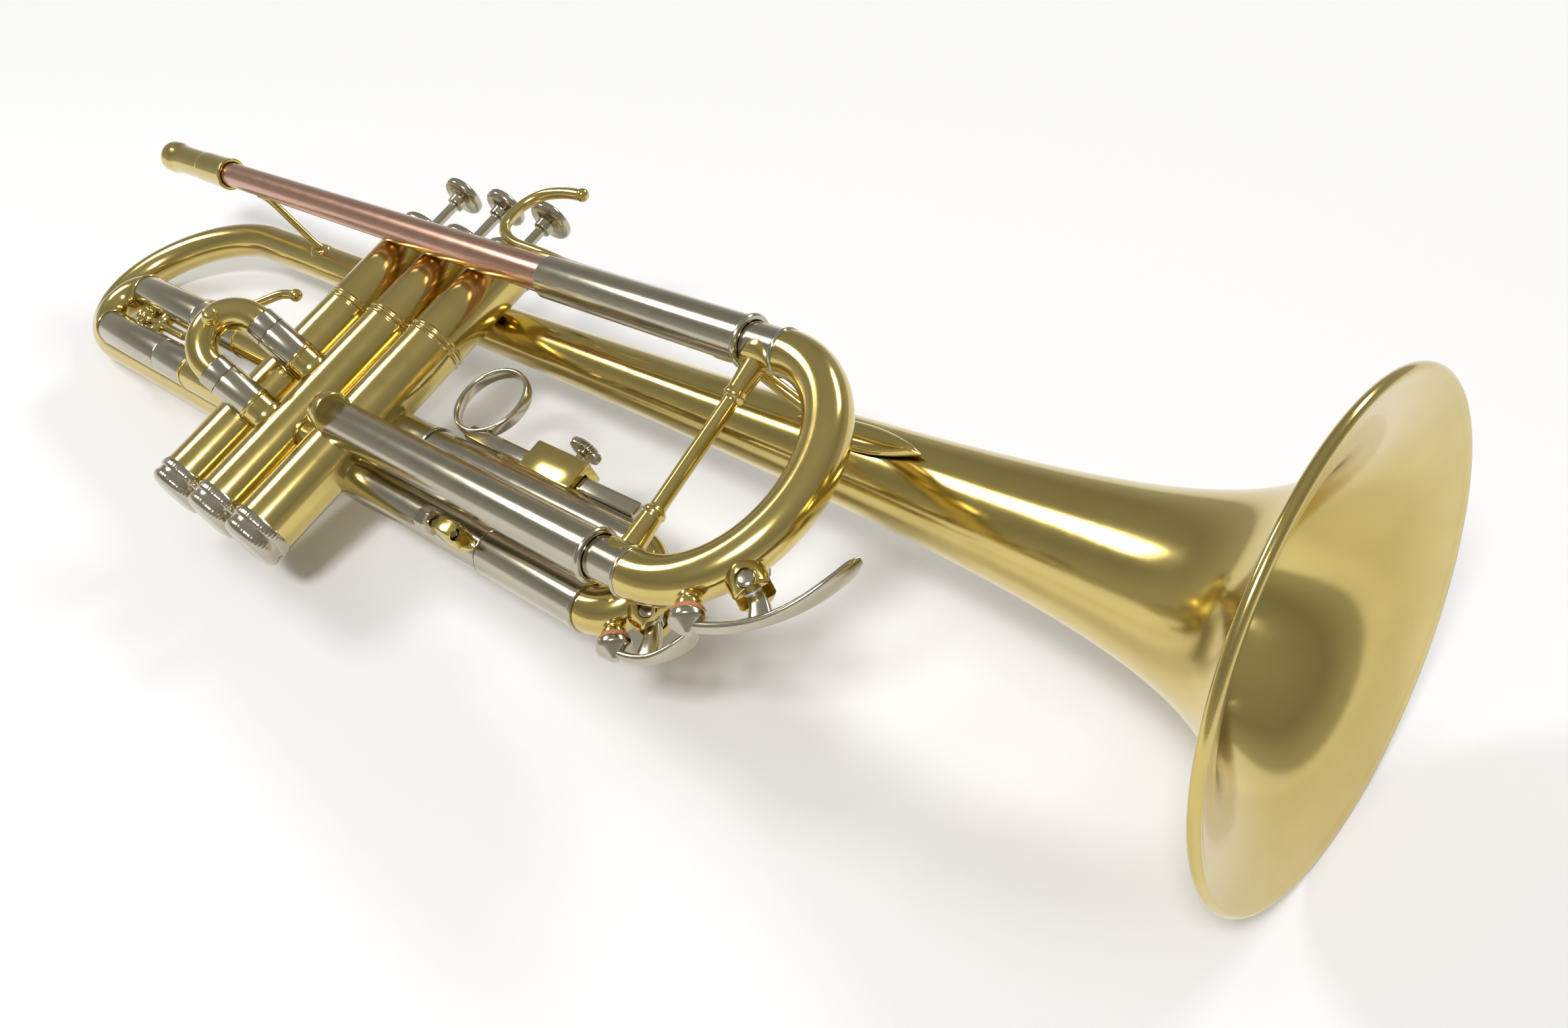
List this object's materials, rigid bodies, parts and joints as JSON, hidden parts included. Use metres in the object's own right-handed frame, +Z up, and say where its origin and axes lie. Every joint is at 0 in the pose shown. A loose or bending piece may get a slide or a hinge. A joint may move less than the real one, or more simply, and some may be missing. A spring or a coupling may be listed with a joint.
{
  "type": "trumpet",
  "caption": "Piston-valve brass trumpet lying on its side, with moving valves, four tuning slides, two water keys and an adjustable finger ring.",
  "frame": {"origin": "centre of the bounding box on the surface that the trumpet lies on", "axes": "+X towards the bell, +Y towards the finger buttons, +Z up from the surface, which is the player's right-hand side of the horn"},
  "size_m": [0.5132, 0.181, 0.1225],
  "materials": {
    "brass": "polished, clear gold lacquer",
    "nickel_silver": "polished",
    "red_brass": "polished, clear lacquer",
    "steel": "smooth",
    "cork": "raw cork"
  },
  "bodies": {
    "horn": {"bell": "brass", "bell_bow": "brass", "bottom_cap_1": "nickel_silver", "bottom_cap_2": "nickel_silver", "bottom_cap_3": "nickel_silver", "casing_1": "brass", "casing_2": "brass", "casing_3": "brass", "first_tube_lower": "nickel_silver", "first_tube_upper": "nickel_silver", "front_brace": "brass", "leadpipe": "red_brass", "leadpipe_slide_tube": "nickel_silver", "lyre_holder": "brass", "mouthpiece_receiver": "brass", "pinky_hook": "brass", "rear_brace": "brass", "return_port": "brass", "return_slide_tube": "nickel_silver", "second_tube_lower": "nickel_silver", "second_tube_upper": "nickel_silver", "third_tube_lower": "nickel_silver", "third_tube_upper": "nickel_silver", "top_cap_1": "nickel_silver", "top_cap_2": "nickel_silver", "top_cap_3": "nickel_silver", "valve_link_1": "brass", "valve_link_2": "brass", "valve_spring_1": "steel", "valve_spring_2": "steel", "valve_spring_3": "steel"},
    "main_slide": {"main_leg_upper": "nickel_silver", "main_leg_lower": "nickel_silver", "main_bow": "brass", "main_slide_pillar": "brass", "main_key_saddle": "brass"},
    "main_key": {"main_key_lever": "nickel_silver", "main_key_cork": "cork"},
    "first_slide": {"first_leg_upper": "nickel_silver", "first_leg_lower": "nickel_silver", "first_bow": "brass", "first_slide_stay": "brass", "thumb_hook": "brass"},
    "second_slide": {"second_slide": "brass"},
    "third_slide": {"third_leg_upper": "nickel_silver", "third_leg_lower": "nickel_silver", "third_bow": "brass", "third_key_saddle": "brass", "ring_guide": "brass"},
    "third_key": {"third_key_lever": "nickel_silver", "third_key_cork": "cork"},
    "finger_ring": {"finger_ring": "nickel_silver"},
    "ring_screw": {"ring_screw": "nickel_silver"},
    "lyre_screw": {"lyre_screw": "nickel_silver"},
    "valve_1": {"piston_1": "steel", "finger_button_1": "nickel_silver"},
    "valve_2": {"piston_2": "steel", "finger_button_2": "nickel_silver"},
    "valve_3": {"piston_3": "steel", "finger_button_3": "nickel_silver"}
  },
  "joints": [
    {"name": "valve_1_press", "type": "slide", "parent": "horn", "child": "valve_1", "axis": [0.0222, -0.9667, -0.2549], "range_m": [0, 0.016], "stiffness_N_per_m": 150, "springref_m": -0.02, "deforming": ["valve_spring_1"]},
    {"name": "valve_2_press", "type": "slide", "parent": "horn", "child": "valve_2", "axis": [0.0222, -0.9667, -0.2549], "range_m": [0, 0.016], "stiffness_N_per_m": 150, "springref_m": -0.02, "deforming": ["valve_spring_2"]},
    {"name": "valve_3_press", "type": "slide", "parent": "horn", "child": "valve_3", "axis": [0.0222, -0.9667, -0.2549], "range_m": [0, 0.016], "stiffness_N_per_m": 150, "springref_m": -0.02, "deforming": ["valve_spring_3"]},
    {"name": "main_tuning_slide", "type": "slide", "parent": "horn", "child": "main_slide", "axis": [0.9962, 0, 0.0869], "range_m": [0, 0.05]},
    {"name": "main_water_key", "type": "hinge", "parent": "main_slide", "child": "main_key", "pos_m": [0.14212, -0.03433, 0.06648], "axis": [-0.0841, -0.2559, 0.963], "range_deg": [0, 15], "stiffness_Nm_per_rad": 0.05, "springref_deg": -20.05},
    {"name": "first_valve_slide", "type": "slide", "parent": "horn", "child": "first_slide", "axis": [-0.9962, 0, -0.0869], "range_m": [0, 0.022]},
    {"name": "second_valve_slide", "type": "slide", "parent": "horn", "child": "second_slide", "axis": [-0.7291, -0.1902, 0.6575], "range_m": [0, 0.012]},
    {"name": "third_valve_slide", "type": "slide", "parent": "horn", "child": "third_slide", "axis": [0.9962, 0, 0.0869], "range_m": [0, 0.014]},
    {"name": "third_water_key", "type": "hinge", "parent": "third_slide", "child": "third_key", "pos_m": [0.11084, -0.04144, 0.04258], "axis": [-0.0841, -0.2559, 0.963], "range_deg": [0, 15], "stiffness_Nm_per_rad": 0.05, "springref_deg": -20.05},
    {"name": "finger_ring_reach", "type": "slide", "parent": "third_slide", "child": "finger_ring", "axis": [0.9962, 0, 0.0869], "range_m": [-0.007, 0.004]},
    {"name": "ring_screw_turn", "type": "hinge", "parent": "third_slide", "child": "ring_screw", "pos_m": [0.0495, -0.01055, 0.04544], "axis": [-0.0222, 0.9667, 0.2549], "continuous": true},
    {"name": "lyre_screw_turn", "type": "hinge", "parent": "horn", "child": "lyre_screw", "pos_m": [0.03358, -0.05352, 0.04384], "axis": [0.9962, 0, 0.0869], "continuous": true}
  ]
}
